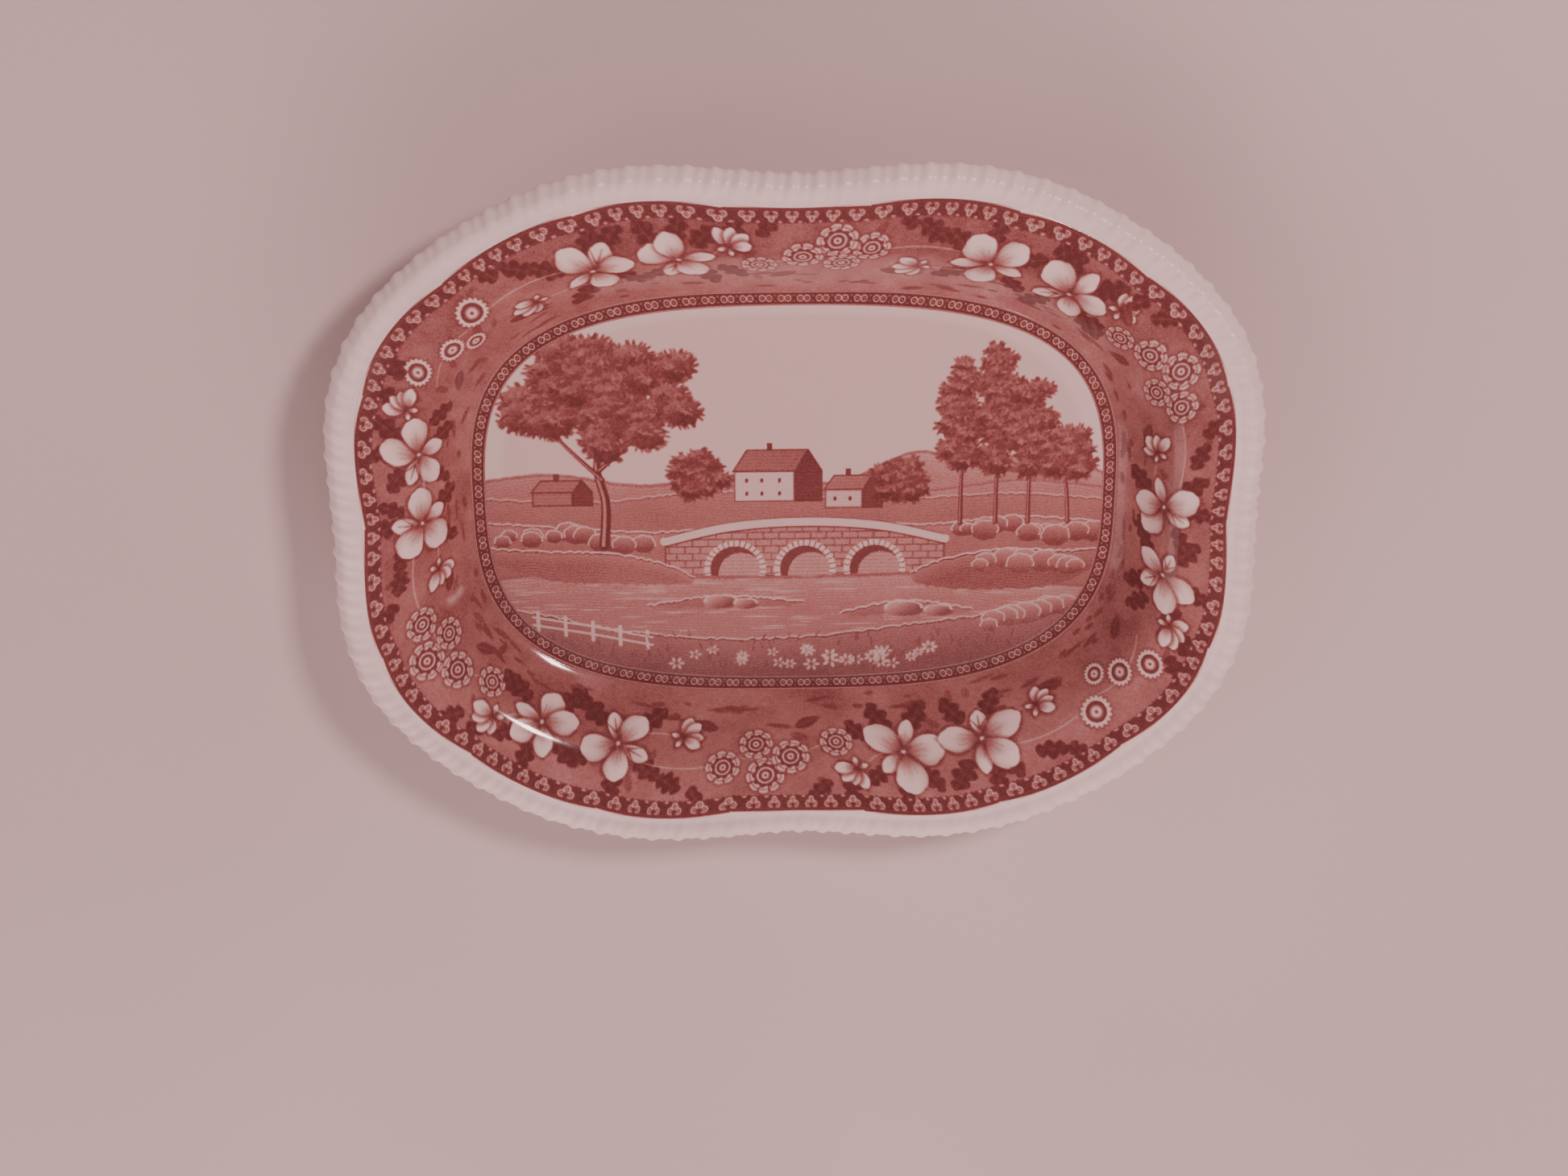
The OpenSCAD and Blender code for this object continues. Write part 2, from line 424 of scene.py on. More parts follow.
def lobed_leaf(sheet, x, y, length, width, angle, lobes, seed):
    """A dark leaf with rounded lobes down both sides."""
    local = random_draws(seed)
    where, lx, ly = sheet.near(x, y, length + 2)
    bend = local.uniform(-0.25, 0.25)
    p, q = turn(lx, ly, angle)
    q = q - bend * p * p / length
    f = np.clip(p / length, 0, 1)
    side = np.where(q > 0, 0.0, 0.5)
    body = np.sin(np.pi * f ** 0.85) ** 0.55
    scallop = 0.46 + 0.54 * np.abs(np.sin(np.pi * (f * lobes + side * 0.8))) ** 0.8
    inside = np.where((p > 0) & (p < length), width / 2 * body * scallop - np.abs(q), -2.0)
    vein = np.exp(-(q / 0.28) ** 2) * 0.16
    blotch = 0.10 * np.sin(lx * 1.3 + seed) * np.sin(ly * 1.1 + 2 * seed)
    sheet.lay(where, soft(inside, 0.35) * 0.92, 1 - vein + blotch)


def pointed_leaf(sheet, x, y, length, width, angle):
    """A dark leaf with a finely toothed edge and a paler mid rib."""
    where, lx, ly = sheet.near(x, y, length + 2)
    p, q = turn(lx, ly, angle)
    f = np.clip(p / length, 0, 1)
    saw = np.abs(np.mod(f * 6, 1) - 0.5) * 0.35
    half = width / 2 * np.sin(np.pi * f ** 0.8) * (1 - saw)
    inside = np.where((p > 0) & (p < length), half - np.abs(q), -2.0)
    sheet.lay(where, soft(inside, 0.3) * 0.9, 0.92 - 0.18 * np.exp(-(q / 0.3) ** 2))


def curved_stem(sheet, x, y, dx, dy, sag):
    """A thin stem from one place to another, bowed by sag."""
    f = np.linspace(0, 1, 14)
    bow = sag * 4 * f * (1 - f)
    length = math.hypot(dx, dy)
    path = np.stack([dx * f - dy / length * bow, dy * f + dx / length * bow], 1)
    sheet.line(path, 0.45, 0.2, 0.85, at=(x, y))


# ------------------------------------------------------------------ the border print
def slope_table():
    """Distance up the face from the chain's outer edge, for t from there to the rim line."""
    t = np.linspace(CHAIN_T, 1, 400)
    run = np.concatenate([[0], np.cumsum(np.hypot(np.diff(t) * SLOPE_WIDTH, np.diff(face_z(t))))])
    return t, run / MM


SLOPE_T, SLOPE_MM = slope_table()
BORDER_TALL = SLOPE_MM[-1]
PERIMETER = (RIM_RUN[-1] + WELL_RUN[-1]) / 2 / MM
RIM_CHAIN_TALL = BORDER_TALL - np.interp(RIM_CHAIN_T, SLOPE_T, SLOPE_MM)


def border_stretch(v):
    """How much longer than the middle of the border its loop is at height v."""
    t = np.interp(v, SLOPE_MM, SLOPE_T)
    return (WELL_RUN[-1] + (RIM_RUN[-1] - WELL_RUN[-1]) * t) / MM / PERIMETER


def height_at(t):
    """Height on the border's sheet of a t up the slope."""
    return float(np.interp(t, SLOPE_T, SLOPE_MM))


REPEATS = 6          # repeats of the garland round the border
GARLAND_START = 0.9  # share of a repeat by which the first pair of blossoms is turned from the +X end
# One repeat, in millimetres along from its pair of blossoms and in height t
ROSETTE_CLUSTER = [(58, 0.58, 6.6), (72, 0.67, 7.4), (84, 0.52, 7.0), (69, 0.43, 6.2), (98, 0.42, 6.0)]
DAISY_CLUSTER = [(62, 0.62, 6.6), (77, 0.50, 5.6), (91, 0.63, 5.8), (70, 0.40, 4.6)]
SPRAYS = [(-34, 0.60, 15, 2.1), (40, 0.38, 15, 5.9)]
LONE_LEAVES = [(-44, 0.72, 2.3), (-29, 0.40, 3.8), (33, 0.66, 0.4), (46, 0.73, 1.2), (106, 0.66, 1.9)]
SHARP_LEAVES = [(54, 0.33, 3.5), (84, 0.33, 5.8), (100, 0.55, 0.6)]
STEMS = [(14, 0.50, 44, 3, 3), (16, 0.42, 26, -2, -3), (-14, 0.48, -18, 7, 3), (60, 0.50, 34, -4, 4)]


def border_ground(sheet):
    sheet.ink[:] = 0.60
    for strength, cell, seed in ((0.14, 90, 3), (0.09, 26, 4), (0.07, 5, 5)):
        sheet.ink += strength * (value_noise(sheet.ink.shape, cell, seed, loop=True) - 0.5)
    # painted shade and light: more ink on the upper flange darkens it as painted shade, and less ink on the
    # lower flange and the upper right wall lightens them as painted light
    share = sheet.x / PERIMETER
    on_flange = np.clip((sheet.y / BORDER_TALL - 0.45) / 0.15, 0, 1)[:, None]
    sheet.ink += 0.08 * on_flange * np.sin(TAU * share)
    sheet.ink -= 0.06 * (1 - on_flange) * np.clip(np.cos(TAU * (share - 0.19)), 0, 1)
    local = random_draws(11)
    for _ in range(150):      # faint horizontal touches of the graver low on the wall
        x, y = local.random() * PERIMETER, height_at(local.uniform(0.1, 0.32))
        sheet.dab(x, y, local.uniform(1.5, 5), local.uniform(0.5, 1.1), local.uniform(-0.2, 0.2), 0.84, 0.75)
    for _ in range(60):
        x, y = local.random() * PERIMETER, height_at(local.uniform(0.16, 0.8))
        sheet.dab(x, y, local.uniform(2, 4), local.uniform(1, 1.8), local.uniform(0, 3), 0.86, 0.5)


RIM_STRIPS = 18             # strips of transfer paper that make up the rim chain
RIM_CHAIN_REPEATS = 112
INNER_CHAIN_PITCH = 7.3     # about, mm


def rim_edge_offset(share):
    """Millimetres by which the hand-cut strips of the rim chain stop short of the printed line."""
    strips = np.linspace(0, 1, RIM_STRIPS + 1)
    k = np.clip(np.searchsorted(strips, np.mod(share, 1), side="right") - 1, 0, RIM_STRIPS - 1)
    f = (np.mod(share, 1) - strips[k]) / (strips[k + 1] - strips[k])
    return 0.25 + 1.5 * (2 * f - 1) ** 2 * (0.5 + 0.5 * np.mod(k * 0.37, 1))


def rim_chain(sheet):
    """A dark strip with a pale three-looped motif in each repeat, between fine lines."""
    rows = np.nonzero(sheet.y > BORDER_TALL - RIM_CHAIN_TALL - 2)[0]
    share = sheet.x / PERIMETER
    edge = (BORDER_TALL - sheet.y[rows])[:, None] - rim_edge_offset(share)[None, :]
    where = np.ix_(rows, np.arange(len(sheet.x)))
    along = share * RIM_CHAIN_REPEATS
    pitch = RIM_RUN[-1] / MM / RIM_CHAIN_REPEATS
    shift = 0.22 * np.sin(along * 0.9) + 0.3 * np.sin(share * TAU * 5)
    x = (np.mod(along + shift, 1) - 0.5)[None, :] * pitch
    ragged = 6.2 + 0.5 * np.abs(np.mod(along * 4, 1) - 0.5)[None, :] * 2
    layers = [(ragged - edge, 0.92)]
    for side in (-1, 1):
        loop = np.hypot(x - side * 1.5, (edge - 2.7) / 1.15)
        layers += [(0.30 - np.abs(loop - 1.05), 0.22), (0.4 - loop, 0.3)]
    low = np.hypot(x, (edge - 4.5) / 1.2)
    layers += [(0.32 - np.abs(low - 1.05), 0.2), (0.4 - low, 0.3), (0.9 - np.hypot(x, edge - 2.4), 0.9)]
    dash = np.mod(x + 4.6, pitch)
    layers += [((1 - np.hypot((dash - 0.9) / 0.9, (edge - 5.9) / 0.45)) / 2, 0.3),
               ((1 - np.hypot((dash + 0.6) / 0.6, (edge - 6.2) / 0.4)) / 2, 0.35)]
    # a paler margin with a fine line and a dark closing line, and the bare glaze beyond the print
    layers += [(1.15 - edge, 0.6), (0.22 - np.abs(edge - 0.95), 0.85), (0.34 - np.abs(edge - 0.3), 1.0),
               (-0.1 - edge, 0.0)]
    for inside, tone in layers:
        sheet.lay(where, soft(inside), tone)


def garland_repeat(sheet, k):
    """A pair of open blossoms among leaves, then a cluster of small round ones with stems and sprays."""
    local = random_draws(600 + k)
    start = (k + GARLAND_START) / REPEATS * PERIMETER
    for j, (along, t, lean) in enumerate(LONE_LEAVES):
        lobed_leaf(sheet, start + along, height_at(t), local.uniform(11, 15), local.uniform(7, 9), lean, 3.0,
                   40 + 9 * k + j)
    for along, t, lean in SHARP_LEAVES:
        pointed_leaf(sheet, start + along, height_at(t), 11, 5, lean)
    pair = [(start + side * 15.5, height_at(0.46 + local.uniform(-0.02, 0.04))) for side in (-1, 1)]
    for x, y in pair:
        for turned in local.uniform(-0.3, 0.3, 5) + [0.7, 1.5, 2.4, 4.0, 5.4]:
            length = local.uniform(11, 15)
            lobed_leaf(sheet, *away(x, y, 9.5, turned), length, 0.66 * length, turned, 2.8, 510 + k)
    for along, t, dx, dy, bow in STEMS:
        curved_stem(sheet, start + along, height_at(t), dx, dy, bow)
    for j, (along, t, size, lean) in enumerate(SPRAYS):
        small_flower(sheet, start + along, height_at(t), size, lean, 130 + 20 * k + 9 * j)
    daisies = k % 3 == 1
    for j, (along, t, radius) in enumerate(DAISY_CLUSTER if daisies else ROSETTE_CLUSTER):
        x, y = start + along + local.uniform(-2, 2), height_at(t)
        if daisies:
            daisy(sheet, x, y, radius, 18, 170 + 9 * k + j)
        else:
            rosette(sheet, x, y, radius, 9, 200 + 9 * k + j)
    for j, (x, y) in enumerate(pair):
        big_flower(sheet, x, y, local.uniform(29, 32), local.uniform(0, TAU), 300 + 20 * k + 9 * j)


def engrave_border():
    sheet = Sheet(0, PERIMETER, 0, BORDER_TALL, FINE, loop=True, stretch=border_stretch)
    border_ground(sheet)
    for k in range(REPEATS):
        garland_repeat(sheet, k)
    rim_chain(sheet)
    return sheet


def printed_border():
    sheet = engrave_border()
    cols = len(sheet.x) // 2
    rows = (len(sheet.y) - 1) // 2
    ink = sheet.ink[:, :cols * 2].reshape(len(sheet.y), cols, 2).mean(2)
    ink = (ink[0:rows * 2:2] + 2 * ink[1:rows * 2 + 1:2] + ink[2:rows * 2 + 2:2])[:rows] / 4
    v = sheet.y[1:rows * 2 + 1:2]
    v[0], v[-1] = 0.0, BORDER_TALL
    t = np.interp(v, SLOPE_MM, SLOPE_T)
    u = angle_at((sheet.x[:cols * 2:2] + sheet.dx / 2) / PERIMETER)
    uu, tt = np.meshgrid(u, t)
    top = face_point(uu, tt)
    skirt_in = face_point(u[None, :], np.full((1, cols), t[0]), INK_THICK)
    skirt_out = face_point(u[None, :], np.full((1, cols), t[-1]), INK_THICK)
    points = np.concatenate([skirt_in, top, skirt_out])
    ink = np.concatenate([ink[:1], ink, ink[-1:]])
    return mesh_object("printed_border", points.reshape(-1, 3), band_quads(len(points), cols), ink)


# ------------------------------------------------------------------ the centre print
FLOOR_X, FLOOR_Y = WELL_HALF / MM
LANDSCAPE_TONE = 1.25       # strength of the whole centre print
FLOOR_GRID = [int(round(2 * half / FINE)) + 1 for half in (FLOOR_Y, FLOOR_X)]
HATCH_BREAKS = 2 * value_noise(FLOOR_GRID, 16, 31)      # where the water lines and hatching swell or fade


def ground_line(sheet, knots):
    curve = smooth_curve(knots, 6)
    return np.interp(sheet.x, curve[:, 0], curve[:, 1])


def land(sheet, knots, tone, low_tone, rim=0.14, scallop=(0.5, 5.0), depth=9.0, seed=1, thick=0.0):
    """Ground below a line: a pale broken rim, then a deepening tone; thick makes it a lens-shaped spit."""
    local = random_draws(seed)
    top = ground_line(sheet, knots)
    height, pitch = scallop
    wobble = np.interp(sheet.x, sheet.x[::40], local.uniform(-1, 1, len(sheet.x[::40])))
    top = top + height * (np.abs(np.sin(np.pi * (sheet.x / pitch + 0.8 * wobble))) - 0.6)
    inside = top[None, :] - sheet.y[:, None]
    ends = np.minimum(sheet.x - knots[0][0], knots[-1][0] - sheet.x)[None, :]
    if thick:
        across = np.clip((sheet.x - knots[0][0]) / (knots[-1][0] - knots[0][0]), 0, 1)
        ends = np.minimum(ends, (thick * np.sin(np.pi * across) ** 0.5)[None, :] - inside)
    deep = np.clip(inside / depth, 0, 1)
    ripple = 0.03 * np.sin(TAU * (inside / 1.3 + wobble[None, :] * 0.3)) * HATCH_BREAKS
    fill = tone + (low_tone - tone) * deep + ripple
    fill = np.where(inside < 0.75, rim, fill)
    fill = np.where((inside > 0.75) & (inside < 1.3), low_tone + 0.1, fill)
    mask = soft(np.minimum(inside, ends))
    sheet.ink += (fill - sheet.ink) * mask


def puff(sheet, x, y, r, light, dark):
    """One rounded bush: pale along its upper edge, dark below."""
    where, lx, ly = sheet.near(x, y, r + 1)
    d = np.hypot(lx, ly / 0.8) / r
    wave = 1 + 0.035 * np.sin(7 * np.arctan2(ly, lx) + x)
    inside = (wave - d) * r
    tone = light + (dark - light) * np.clip(0.55 - 0.75 * ly / r, 0, 1)
    tone = np.where((inside < 0.55) & (ly > -0.25 * r), 0.14, tone)
    sheet.lay(where, soft(inside), tone)


def bushes(sheet, path, r, light, dark, seed, count):
    """Bushes scattered along a path, the nearer ones drawn last."""
    local = random_draws(seed)
    curve = smooth_curve(path, 8)
    run = running_length(curve)
    places = []
    for k in range(count):
        along = (k + local.uniform(0.2, 0.8)) / count * run[-1]
        place = np.array([np.interp(along, run, curve[:, 0]), np.interp(along, run, curve[:, 1])])
        places.append((*(place + local.uniform(-0.4, 0.4, 2) * r), r * local.uniform(0.7, 1.25)))
    for x, y, size in sorted(places, key=lambda p: -p[1]):
        puff(sheet, x, y, size, light, dark)


def crown(sheet, x, y, rx, ry, tone, seed, lobe=7.0):
    """An ordinary broad-leaved crown: overlapping clumps of leaves, lit from the upper left."""
    local = random_draws(seed)
    clumps = []
    count = int(2.8 * rx * ry / lobe ** 2) + 5
    for k in range(count):
        a, out = 2.4 * k + local.uniform(-0.3, 0.3), math.sqrt((k + 0.3) / count) * local.uniform(0.92, 1.04)
        clumps.append((*away(x, y, rx * out, a, ry / rx), lobe * local.uniform(0.8, 1.2)))
    for cx, cy, r in sorted(clumps, key=lambda c: -c[1]):
        for k in range(int(5 * r)):
            a = local.uniform(0, TAU)
            sheet.dab(*away(cx, cy, r, a, 0.72), 1.3, 0.55, a + local.uniform(-0.6, 0.6),
                      tone + local.uniform(-0.12, 0.06), 0.9)
        where, lx, ly = sheet.near(cx, cy, r)
        ragged = 0.92 + 0.06 * np.sin(9 * np.arctan2(ly, lx) + seed + cx)
        fill = tone + 0.22 * np.clip((lx * 0.5 - ly) / r, -1, 1)
        sheet.lay(where, soft((ragged - np.hypot(lx, ly / 0.72) / r) * r, 0.5) * 0.92, fill)
        for k in range(int(3 * r)):
            a, out = local.uniform(0, TAU), r * local.uniform(0.1, 0.85)
            lit = math.sin(a + 0.5) > 0.1
            sheet.dab(*away(cx, cy, out, a, 0.7), 1.1, 0.42, local.uniform(0, 3),
                      tone - 0.26 if lit else tone + 0.16, 0.7)


def trunk(sheet, points, width):
    """A stem with one lit side."""
    curve = smooth_curve(points, 6)
    widths = np.linspace(width, width * 0.55, len(curve))
    sheet.line(curve, widths, 0.78)
    sheet.line(curve + [-width * 0.12, 0], widths * 0.35, 0.36)


def wall(sheet, corners, tone, courses=0.0):
    """A flat wall or roof with a thin dark outline, and stone courses where asked."""
    def fill(x, y):
        if not courses:
            return tone + 0.03 * np.sin(TAU * y / 1.4)
        row = np.floor(y / courses)
        joint = np.abs(np.mod(y / courses, 1) - 0.5) > 0.40
        upright = np.abs(np.mod(x / (2.1 * courses) + 0.5 * np.mod(row, 2), 1) - 0.5) > 0.45
        return tone + np.where(joint | upright, 0.20, 0.0)
    sheet.shape(corners, fill, 0.75, 0.45)


def window(sheet, x, y):
    sheet.shape([(-0.5, -0.8), (0.5, -0.8), (0.5, 0.8), (-0.5, 0.8)], 0.85, at=(x, y))


def house(sheet, x, y, width, height, depth, roof, light, dark):
    """A plain gabled farmhouse: lit long wall, shaded end wall, hatched roof and a chimney."""
    end, eaves, ridge = x + width, y + height, y + height + roof
    left = x + width * 0.55
    wall(sheet, [(x, y), (end, y), (end, eaves), (x, eaves)], light)
    wall(sheet, [(end, y), (end + depth, y), (end + depth, eaves), (end + depth / 2, ridge), (end, eaves)],
         dark)
    wall(sheet, [(x - 0.8, eaves - 0.4), (end + 0.3, eaves - 0.4),
                 (end + depth / 2, ridge), (x + depth / 2 - 0.5, ridge)], dark - 0.2)
    wall(sheet, [(left, ridge - 0.3), (left + 2, ridge - 0.3), (left + 2, ridge + 2.6), (left, ridge + 2.6)],
         dark)


def rounded_stone(sheet, x, y, rx, ry, light, dark):
    where, lx, ly = sheet.near(x, y, rx + 1)
    d = (np.abs(lx / rx) ** 2.6 + np.abs(ly / ry) ** 2.6) ** (1 / 2.6)
    inside = (1 - d) * ry
    tone = light + (dark - light) * np.clip(0.5 + 0.6 * lx / rx - 0.5 * ly / ry, 0, 1)
    tone = np.where((inside < 0.5) & (ly > 0), 0.16, tone)
    sheet.lay(where, soft(inside), tone)


def sky_and_hills(sheet):
    reach = (np.abs(sheet.x[None, :] / FLOOR_X) ** 3 + np.abs(sheet.y[:, None] / FLOOR_Y) ** 3) ** (1 / 3)
    sheet.ink[:] = 0.09 * np.clip((0.935 - reach) / 0.03, 0, 1)
    land(sheet, [(-10, 0), (20, 7), (48, 19), (72, 14), (98, 18), (126, 8)], 0.30, 0.38,
         0.44, (0.2, 9), seed=2)
    land(sheet, [(-126, 8), (-96, 11), (-60, 6), (-20, 10), (14, 6), (52, 3), (90, 7), (126, 3)], 0.36, 0.42,
         0.40, (0.3, 8), seed=3)
    land(sheet, [(-126, 1), (-80, -1), (-36, 3), (0, 1), (40, -1), (84, 1), (126, -2)], 0.42, 0.46, 0.26,
         (0.6, 6), seed=5)


def farmstead(sheet):
    """Two plain farmhouses and a barn on the far bank."""
    house(sheet, -24, -2, 24, 13, 11, 9, 0.13, 0.70)
    house(sheet, 12, -5, 15, 8, 8, 6, 0.20, 0.66)
    house(sheet, -104, -3, 16, 6, 8, 5, 0.46, 0.66)
    for x in (-19, -13, -6):
        window(sheet, x, 7)
        window(sheet, x, 1.5)
    for x in (16, 22):
        window(sheet, x, -1)


def trees(sheet):
    crown(sheet, -38, 10, 9, 9, 0.66, 401, 4.5)
    crown(sheet, 42, 6, 9, 8, 0.66, 402, 4.5)
    trunk(sheet, [(-76, -20), (-75, -2), (-78, 14), (-74, 34)], 4.2)
    trunk(sheet, [(-76, 8), (-88, 20), (-97, 30)], 2.0)
    trunk(sheet, [(-77, 12), (-64, 24), (-55, 34)], 2.0)
    crown(sheet, -75, 42, 36, 22, 0.64, 410, 8.0)
    for x, tall in ((66, 22), (80, 27), (93, 19)):
        trunk(sheet, [(x, -12), (x, 4), (x + 0.5, 14)], 1.8)
        crown(sheet, x, 10 + tall, 6.5, tall, 0.64, 420 + x, 5.0)
    trunk(sheet, [(109, -12), (108, 2), (106, 12)], 1.8)
    crown(sheet, 108, 16, 9, 10, 0.64, 430, 5.0)


def bridge(sheet):
    """A level stone bridge with three equal arches."""
    deck = smooth_curve([(-52, -19), (-26, -13), (4, -11), (34, -13), (60, -19)], 6)
    wall(sheet, np.concatenate([deck, [(60, -34), (-52, -34)]]), 0.36, courses=3.0)
    for x in (-24, 4, 32):
        where, lx, ly = sheet.near(x, -31, 14)
        r = np.hypot(lx, ly)
        above = ly > -3
        shade = np.where(np.hypot(lx - 2.5, ly + 2) > 9.2, 0.66, 0.34 + 0.04 * np.sin(TAU * ly / 1.6))
        sheet.lay(where, soft(10 - r) * above, shade)
        joint = np.abs(np.mod(np.arctan2(ly, lx) * 5, 1) - 0.5) > 0.40
        sheet.lay(where, soft(np.minimum(r - 10, 12.4 - r)) * above, np.where(joint, 0.60, 0.10))
    sheet.line(deck + [0, 0.4], 3.6, 0.12)
    sheet.line(deck - [0, 1.8], 0.5, 0.70)
    sheet.line(deck + [0, 2.2], 0.4, 0.60)


def river(sheet):
    shore = [(-126, -34), (-90, -31), (-50, -33), (0, -34), (58, -33), (92, -37), (126, -40)]
    land(sheet, shore, 0.34, 0.42, 0.5, (0.15, 11), 14, seed=20)
    local = random_draws(450)
    for _ in range(190):
        x, y = local.uniform(-118, 100), local.uniform(-58, -34)
        sheet.dab(x, y, local.uniform(2, 7), 0.3, 0, local.choice([0.18, 0.46]), 0.6)


def far_bank(sheet):
    land(sheet, [(-126, -9), (-90, -12), (-50, -14), (0, -9), (50, -12), (90, -9), (126, -12)], 0.38, 0.46,
         0.20, (0.6, 7), seed=10)
    bushes(sheet, [(-120, -17), (-96, -15), (-60, -20)], 4.4, 0.36, 0.64, 12, count=12)
    bushes(sheet, [(62, -16), (84, -14), (120, -18)], 4.8, 0.36, 0.64, 13, count=13)


def banks(sheet):
    land(sheet, [(-126, -20), (-100, -22), (-74, -23), (-52, -28), (-40, -34)], 0.38, 0.50,
         0.16, (0.7, 6), 6, 11, 14)
    land(sheet, [(46, -33), (60, -27), (84, -23), (108, -24), (126, -23)], 0.40, 0.54,
         0.16, (0.7, 6), 8, 14, 18)
    bushes(sheet, [(70, -30), (92, -28), (118, -31)], 4.8, 0.32, 0.60, 15, count=9)


def foreground(sheet):
    """The near bank, with stones, a rail fence, bushes and small flowers."""
    shore = [(-126, -46), (-104, -49), (-70, -57), (-30, -61), (10, -60), (50, -55), (90, -50), (126, -44)]
    land(sheet, shore, 0.46, 0.58, 0.20, (0.8, 8), 16, seed=16)
    land(sheet, [(-60, -46), (-30, -42), (4, -45)], 0.44, 0.50, 0.16, (0.7, 5), 4, 17, 5.0)
    land(sheet, [(18, -50), (44, -45), (72, -49)], 0.44, 0.50, 0.16, (0.7, 5), 4, 18, 6.0)
    for x, y, rx, ry in ((-30, -45, 7, 3), (-20, -46, 5, 2.4), (44, -49, 8, 3.4), (58, -50, 6, 2.6)):
        rounded_stone(sheet, x, y, rx, ry, 0.32, 0.62)
    bushes(sheet, [(76, -56), (92, -52), (110, -46)], 5.0, 0.32, 0.60, 19, count=13)
    for k in range(5):
        x = -104 + 11 * k
        sheet.line([(x, -49 - 2.2 * k), (x, -57 - 2.2 * k)], 1.4, 0.12)
    for lift in (0, 3.4):
        sheet.line([(-106, -51 - lift), (-84, -55 - lift), (-58, -60.5 - lift)], 0.9, 0.14)
    local = random_draws(470)
    for _ in range(24):
        x, y = local.uniform(-52, 56), local.uniform(-74, -66)
        petals, size = local.integers(5, 8), local.uniform(1.4, 2.6)
        for k in range(petals):
            a = k * TAU / petals
            sheet.dab(*away(x, y, size, a, 0.8), 0.5 * size, 0.28 * size, a, 0.14)
    for _ in range(90):
        x, y = local.uniform(-110, 110), local.uniform(-76, -60)
        lean = local.uniform(-1, 1)
        sheet.line([(x, y), (x + 0.5 * lean, y + 1.6), (x + 1.6 * lean, y + 3)], [0.6, 0.5, 0.3], 0.66, 0.8)


def engrave_floor():
    sheet = Sheet(-FLOOR_X, FLOOR_X, -FLOOR_Y, FLOOR_Y, FINE)
    for paint in (sky_and_hills, farmstead, far_bank, trees, bridge, river, banks, foreground):
        paint(sheet)
    sheet.ink *= LANDSCAPE_TONE
    return sheet


def inner_chain_ink(run_mm, off_mm):
    """Dark strip of paired pale rings: run along the floor's edge, off across it."""
    repeats = round(WELL_RUN[-1] / MM / INNER_CHAIN_PITCH)
    pitch = WELL_RUN[-1] / MM / repeats
    x = (np.mod(run_mm / pitch, 1) - 0.5) * pitch
    layers = [(2.45 - np.abs(off_mm), 0.95)]
    for side in (-1, 1):
        ring = np.hypot(x - side * 1.3, off_mm * 0.9)
        layers += [(0.22 - np.abs(ring - 1.1), 0.24), (0.3 - ring, 0.42)]
    layers += [(0.3 - np.hypot(np.abs(x) - pitch / 2, np.abs(off_mm) - 1.2), 0.4),
               (0.2 - np.abs(np.abs(off_mm) - 2.85), 0.75)]
    ink = 0.05
    for inside, tone in layers:
        ink = ink + (tone - ink) * soft(inside)
    return ink


def printed_centre():
    sheet = engrave_floor()
    half_cols = int(FLOOR_X / GRID)
    half_rows = int(FLOOR_Y / GRID)
    a = np.linspace(-1, 1, 2 * half_cols + 1)[None, :]
    b = np.linspace(-1, 1, 2 * half_rows + 1)[:, None]
    a, b = np.broadcast_arrays(a, b)
    u = np.mod(np.arctan2(b, a), TAU)
    reach = np.maximum(np.abs(a), np.abs(b))
    xy = outline(u, np.full(u.shape, -CHAIN_T)) * reach[..., None]
    rows, cols = a.shape
    points = np.concatenate([xy, np.full((rows, cols, 1), FLOOR_Z)], -1).reshape(-1, 3)
    c = np.clip((xy[..., 0] / MM - sheet.x[0]) / sheet.dx, 0, len(sheet.x) - 1.001)
    r = np.clip((xy[..., 1] / MM - sheet.y[0]) / (sheet.y[1] - sheet.y[0]), 0, len(sheet.y) - 1.001)
    c0, r0 = c.astype(int), r.astype(int)
    ink = between(sheet.ink, r0, c0, r - r0, c - c0).ravel()
    index = np.arange(rows * cols).reshape(rows, cols)
    quads = np.stack([index[:-1, :-1], index[:-1, 1:], index[1:, 1:], index[1:, :-1]], -1).reshape(-1, 4)
    # the chain's rings carry on from the grid's edge
    rim = np.concatenate([index[0, :-1], index[:-1, -1], index[-1, :0:-1], index[:0:-1, 0]])
    ring_u = u.ravel()[rim]
    n = len(rim)
    ring_t = np.linspace(-CHAIN_T, CHAIN_T, int(2 * CHAIN_T * SLOPE_WIDTH / MM / (GRID * 0.6)) + 1)[1:]
    run = np.interp(ring_u, ROUND, WELL_RUN) / MM
    rings, ring_ink = [], []
    for t in ring_t:
        rings.append(face_point(ring_u, np.full(n, t)))
        ring_ink.append(inner_chain_ink(run, np.full(n, t * SLOPE_WIDTH / MM)))
    rings.append(face_point(ring_u, np.full(n, CHAIN_T), INK_THICK))
    ring_ink.append(ring_ink[-1])
    ids = np.concatenate([rim[None, :], len(points) + np.arange(n * len(rings)).reshape(len(rings), n)])
    nxt = np.roll(ids, -1, axis=1)
    ring_quads = np.stack([ids[:-1], ids[1:], nxt[1:], nxt[:-1]], -1).reshape(-1, 4)
    points = np.concatenate([points, np.concatenate(rings)])
    ink = np.concatenate([ink, np.concatenate(ring_ink)])
    return mesh_object("printed_centre", points, np.concatenate([quads, ring_quads]), ink)


# ------------------------------------------------------------------ the pottery
def level(xy, z):
    """Points of a ring, all at one height."""
    return np.concatenate([xy, np.full((len(xy), 1), z)], 1)


